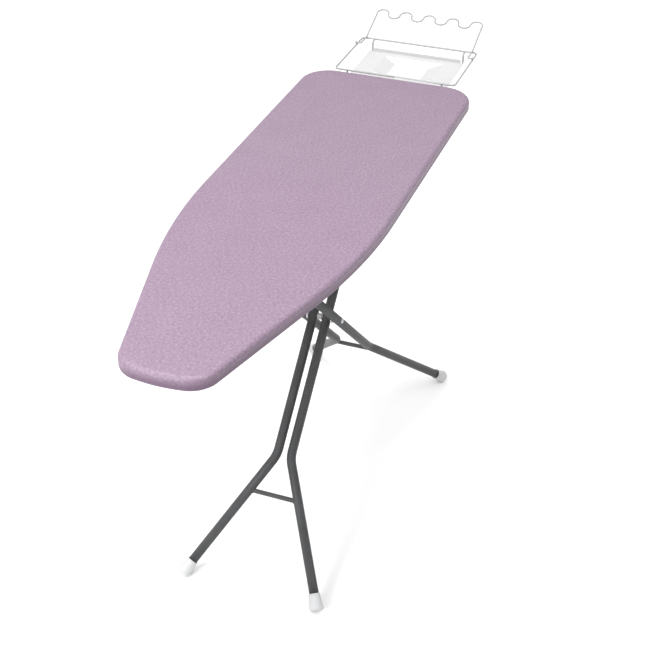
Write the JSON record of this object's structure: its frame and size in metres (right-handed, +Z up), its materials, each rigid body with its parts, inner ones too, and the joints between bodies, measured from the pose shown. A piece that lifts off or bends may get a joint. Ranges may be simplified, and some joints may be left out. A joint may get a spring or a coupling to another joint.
{
  "type": "folding ironing board",
  "caption": "Folding ironing board with a padded cloth cover, crossed tube legs, a wire iron rest and a folding hanger rack.",
  "frame": {"origin": "on the floor, under the middle of the whole board with its iron rest and hanger rack", "axes": "+X along the board from the nose to the iron rest, +Y to the left, +Z up"},
  "size_m": [1.5172, 0.3982, 0.8332],
  "materials": {
    "cotton_cover": "heathered lilac cotton, matt",
    "pad_foam": "felt and foam underlay",
    "dark_powder_coat": "dark grey powder coat, satin",
    "light_powder_coat": "light grey powder coat, satin",
    "zinc_plated_steel": "bright zinc plate",
    "pale_plastic": "off-white moulded plastic",
    "dark_plastic": "dark grey moulded plastic"
  },
  "bodies": {
    "board": {"cover": "cotton_cover", "foam_pad": "pad_foam", "board_panel": "dark_powder_coat", "cross_brace_nose": "dark_powder_coat", "cross_brace_front": "dark_powder_coat", "cross_brace_rear": "dark_powder_coat", "cross_brace_tail": "dark_powder_coat", "height_rail": "dark_powder_coat", "leg_hinge_bracket": "dark_powder_coat", "lock_rod_clip_front": "dark_plastic", "lock_rod_clip_rear": "dark_plastic", "lock_spring": "zinc_plated_steel", "rest_frame": "light_powder_coat", "rest_support_left": "light_powder_coat", "rest_support_right": "light_powder_coat", "rest_post_left": "light_powder_coat", "rest_post_right": "light_powder_coat", "rest_plate": "light_powder_coat", "rack_eye_left": "light_powder_coat", "rack_eye_right": "light_powder_coat", "rest_clamp_left": "dark_plastic", "rest_clamp_right": "dark_plastic", "leg_hinge_pin": "zinc_plated_steel"},
    "front_legs": {"front_leg_tube_left": "dark_powder_coat", "front_leg_tube_right": "dark_powder_coat", "front_cross_rod": "dark_powder_coat", "front_foot_left": "pale_plastic", "front_foot_right": "pale_plastic", "leg_hinge_sleeve": "light_powder_coat", "pivot_sleeve": "light_powder_coat"},
    "rear_legs": {"rear_leg_tube_left": "dark_powder_coat", "rear_leg_tube_right": "dark_powder_coat", "rear_cross_rod": "dark_powder_coat", "rear_foot_left": "pale_plastic", "rear_foot_right": "pale_plastic", "slider_axle": "zinc_plated_steel", "slider_cap_left": "dark_plastic", "slider_cap_right": "dark_plastic", "pivot_bolt": "zinc_plated_steel", "pivot_nut": "zinc_plated_steel", "pivot_washer_left": "pale_plastic", "pivot_washer_right": "pale_plastic"},
    "height_lock": {"lock_rod": "zinc_plated_steel", "lock_comb": "zinc_plated_steel", "lever_grip": "dark_plastic"},
    "hanger_rack": {"hanger_rack": "light_powder_coat"}
  },
  "joints": [
    {"name": "leg_fold", "type": "hinge", "parent": "board", "child": "front_legs", "pos_m": [0.29736, 0, 0.75095], "axis": [0, 1, 0], "range_deg": [-7, 42]},
    {"name": "leg_cross", "type": "hinge", "parent": "front_legs", "child": "rear_legs", "pos_m": [-0.0254, 0, 0.43267], "axis": [0, 1, 0], "range_deg": [-86, 16]},
    {"name": "lock_release", "type": "hinge", "parent": "board", "child": "height_lock", "pos_m": [-0.4, -0.072, 0.756], "axis": [1, 0, 0], "range_deg": [0, 25], "stiffness_Nm_per_rad": 0.6, "springref_deg": -20.05},
    {"name": "rack_fold", "type": "hinge", "parent": "board", "child": "hanger_rack", "pos_m": [0.6176, 0, 0.79495], "axis": [0, -1, 0], "range_deg": [0, 160]}
  ],
  "couplings": [
    {"joint": "leg_cross", "follows": "leg_fold", "ratio": -2}
  ]
}
